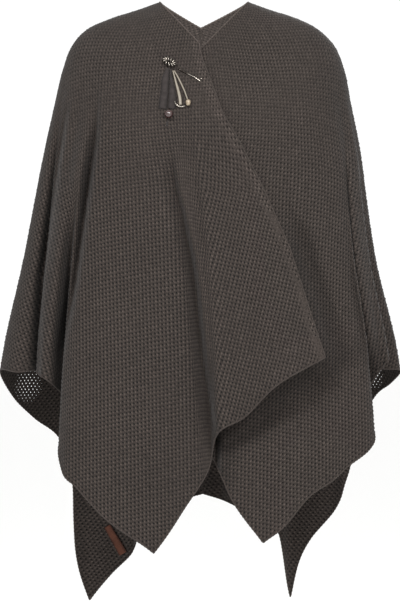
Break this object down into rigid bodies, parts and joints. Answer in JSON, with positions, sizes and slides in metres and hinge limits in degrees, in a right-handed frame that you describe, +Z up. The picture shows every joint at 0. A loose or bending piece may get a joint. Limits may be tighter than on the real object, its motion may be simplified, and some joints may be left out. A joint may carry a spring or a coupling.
{
  "type": "knitted poncho sweater",
  "caption": "Open-fronted knitted wrap poncho, worn and empty, its front lapped over and closed with a brooch and leather tassels.",
  "frame": {"origin": "midway between the two sides of the neck edge, where the wearer's shoulders carry the cloth", "axes": "+Z up, -Y out of the front, +X towards the arm of the under panel"},
  "size_m": [0.7002, 0.4002, 1.0544],
  "materials": {
    "knit": "matte charcoal brown tuck-stitch knit",
    "leather": "bare dark brown leather",
    "silver": "antique silver, dark in its hollows",
    "suede": "dark grey suede",
    "lace": "cream leather lace",
    "brown_bead": "polished dark brown",
    "cream_bead": "satin cream"
  },
  "bodies": {
    "root": {"over_panel": "knit", "under_panel": "knit", "label": "leather", "pin_head": "silver", "pin_shaft": "silver", "pin_stud": "silver", "left_tail": "suede", "right_tail": "suede", "wide_lace": "lace", "narrow_lace": "lace", "brown_bead": "brown_bead", "bead_cord": "suede", "crescent": "silver", "cream_bead": "cream_bead"}
  },
  "joints": []
}
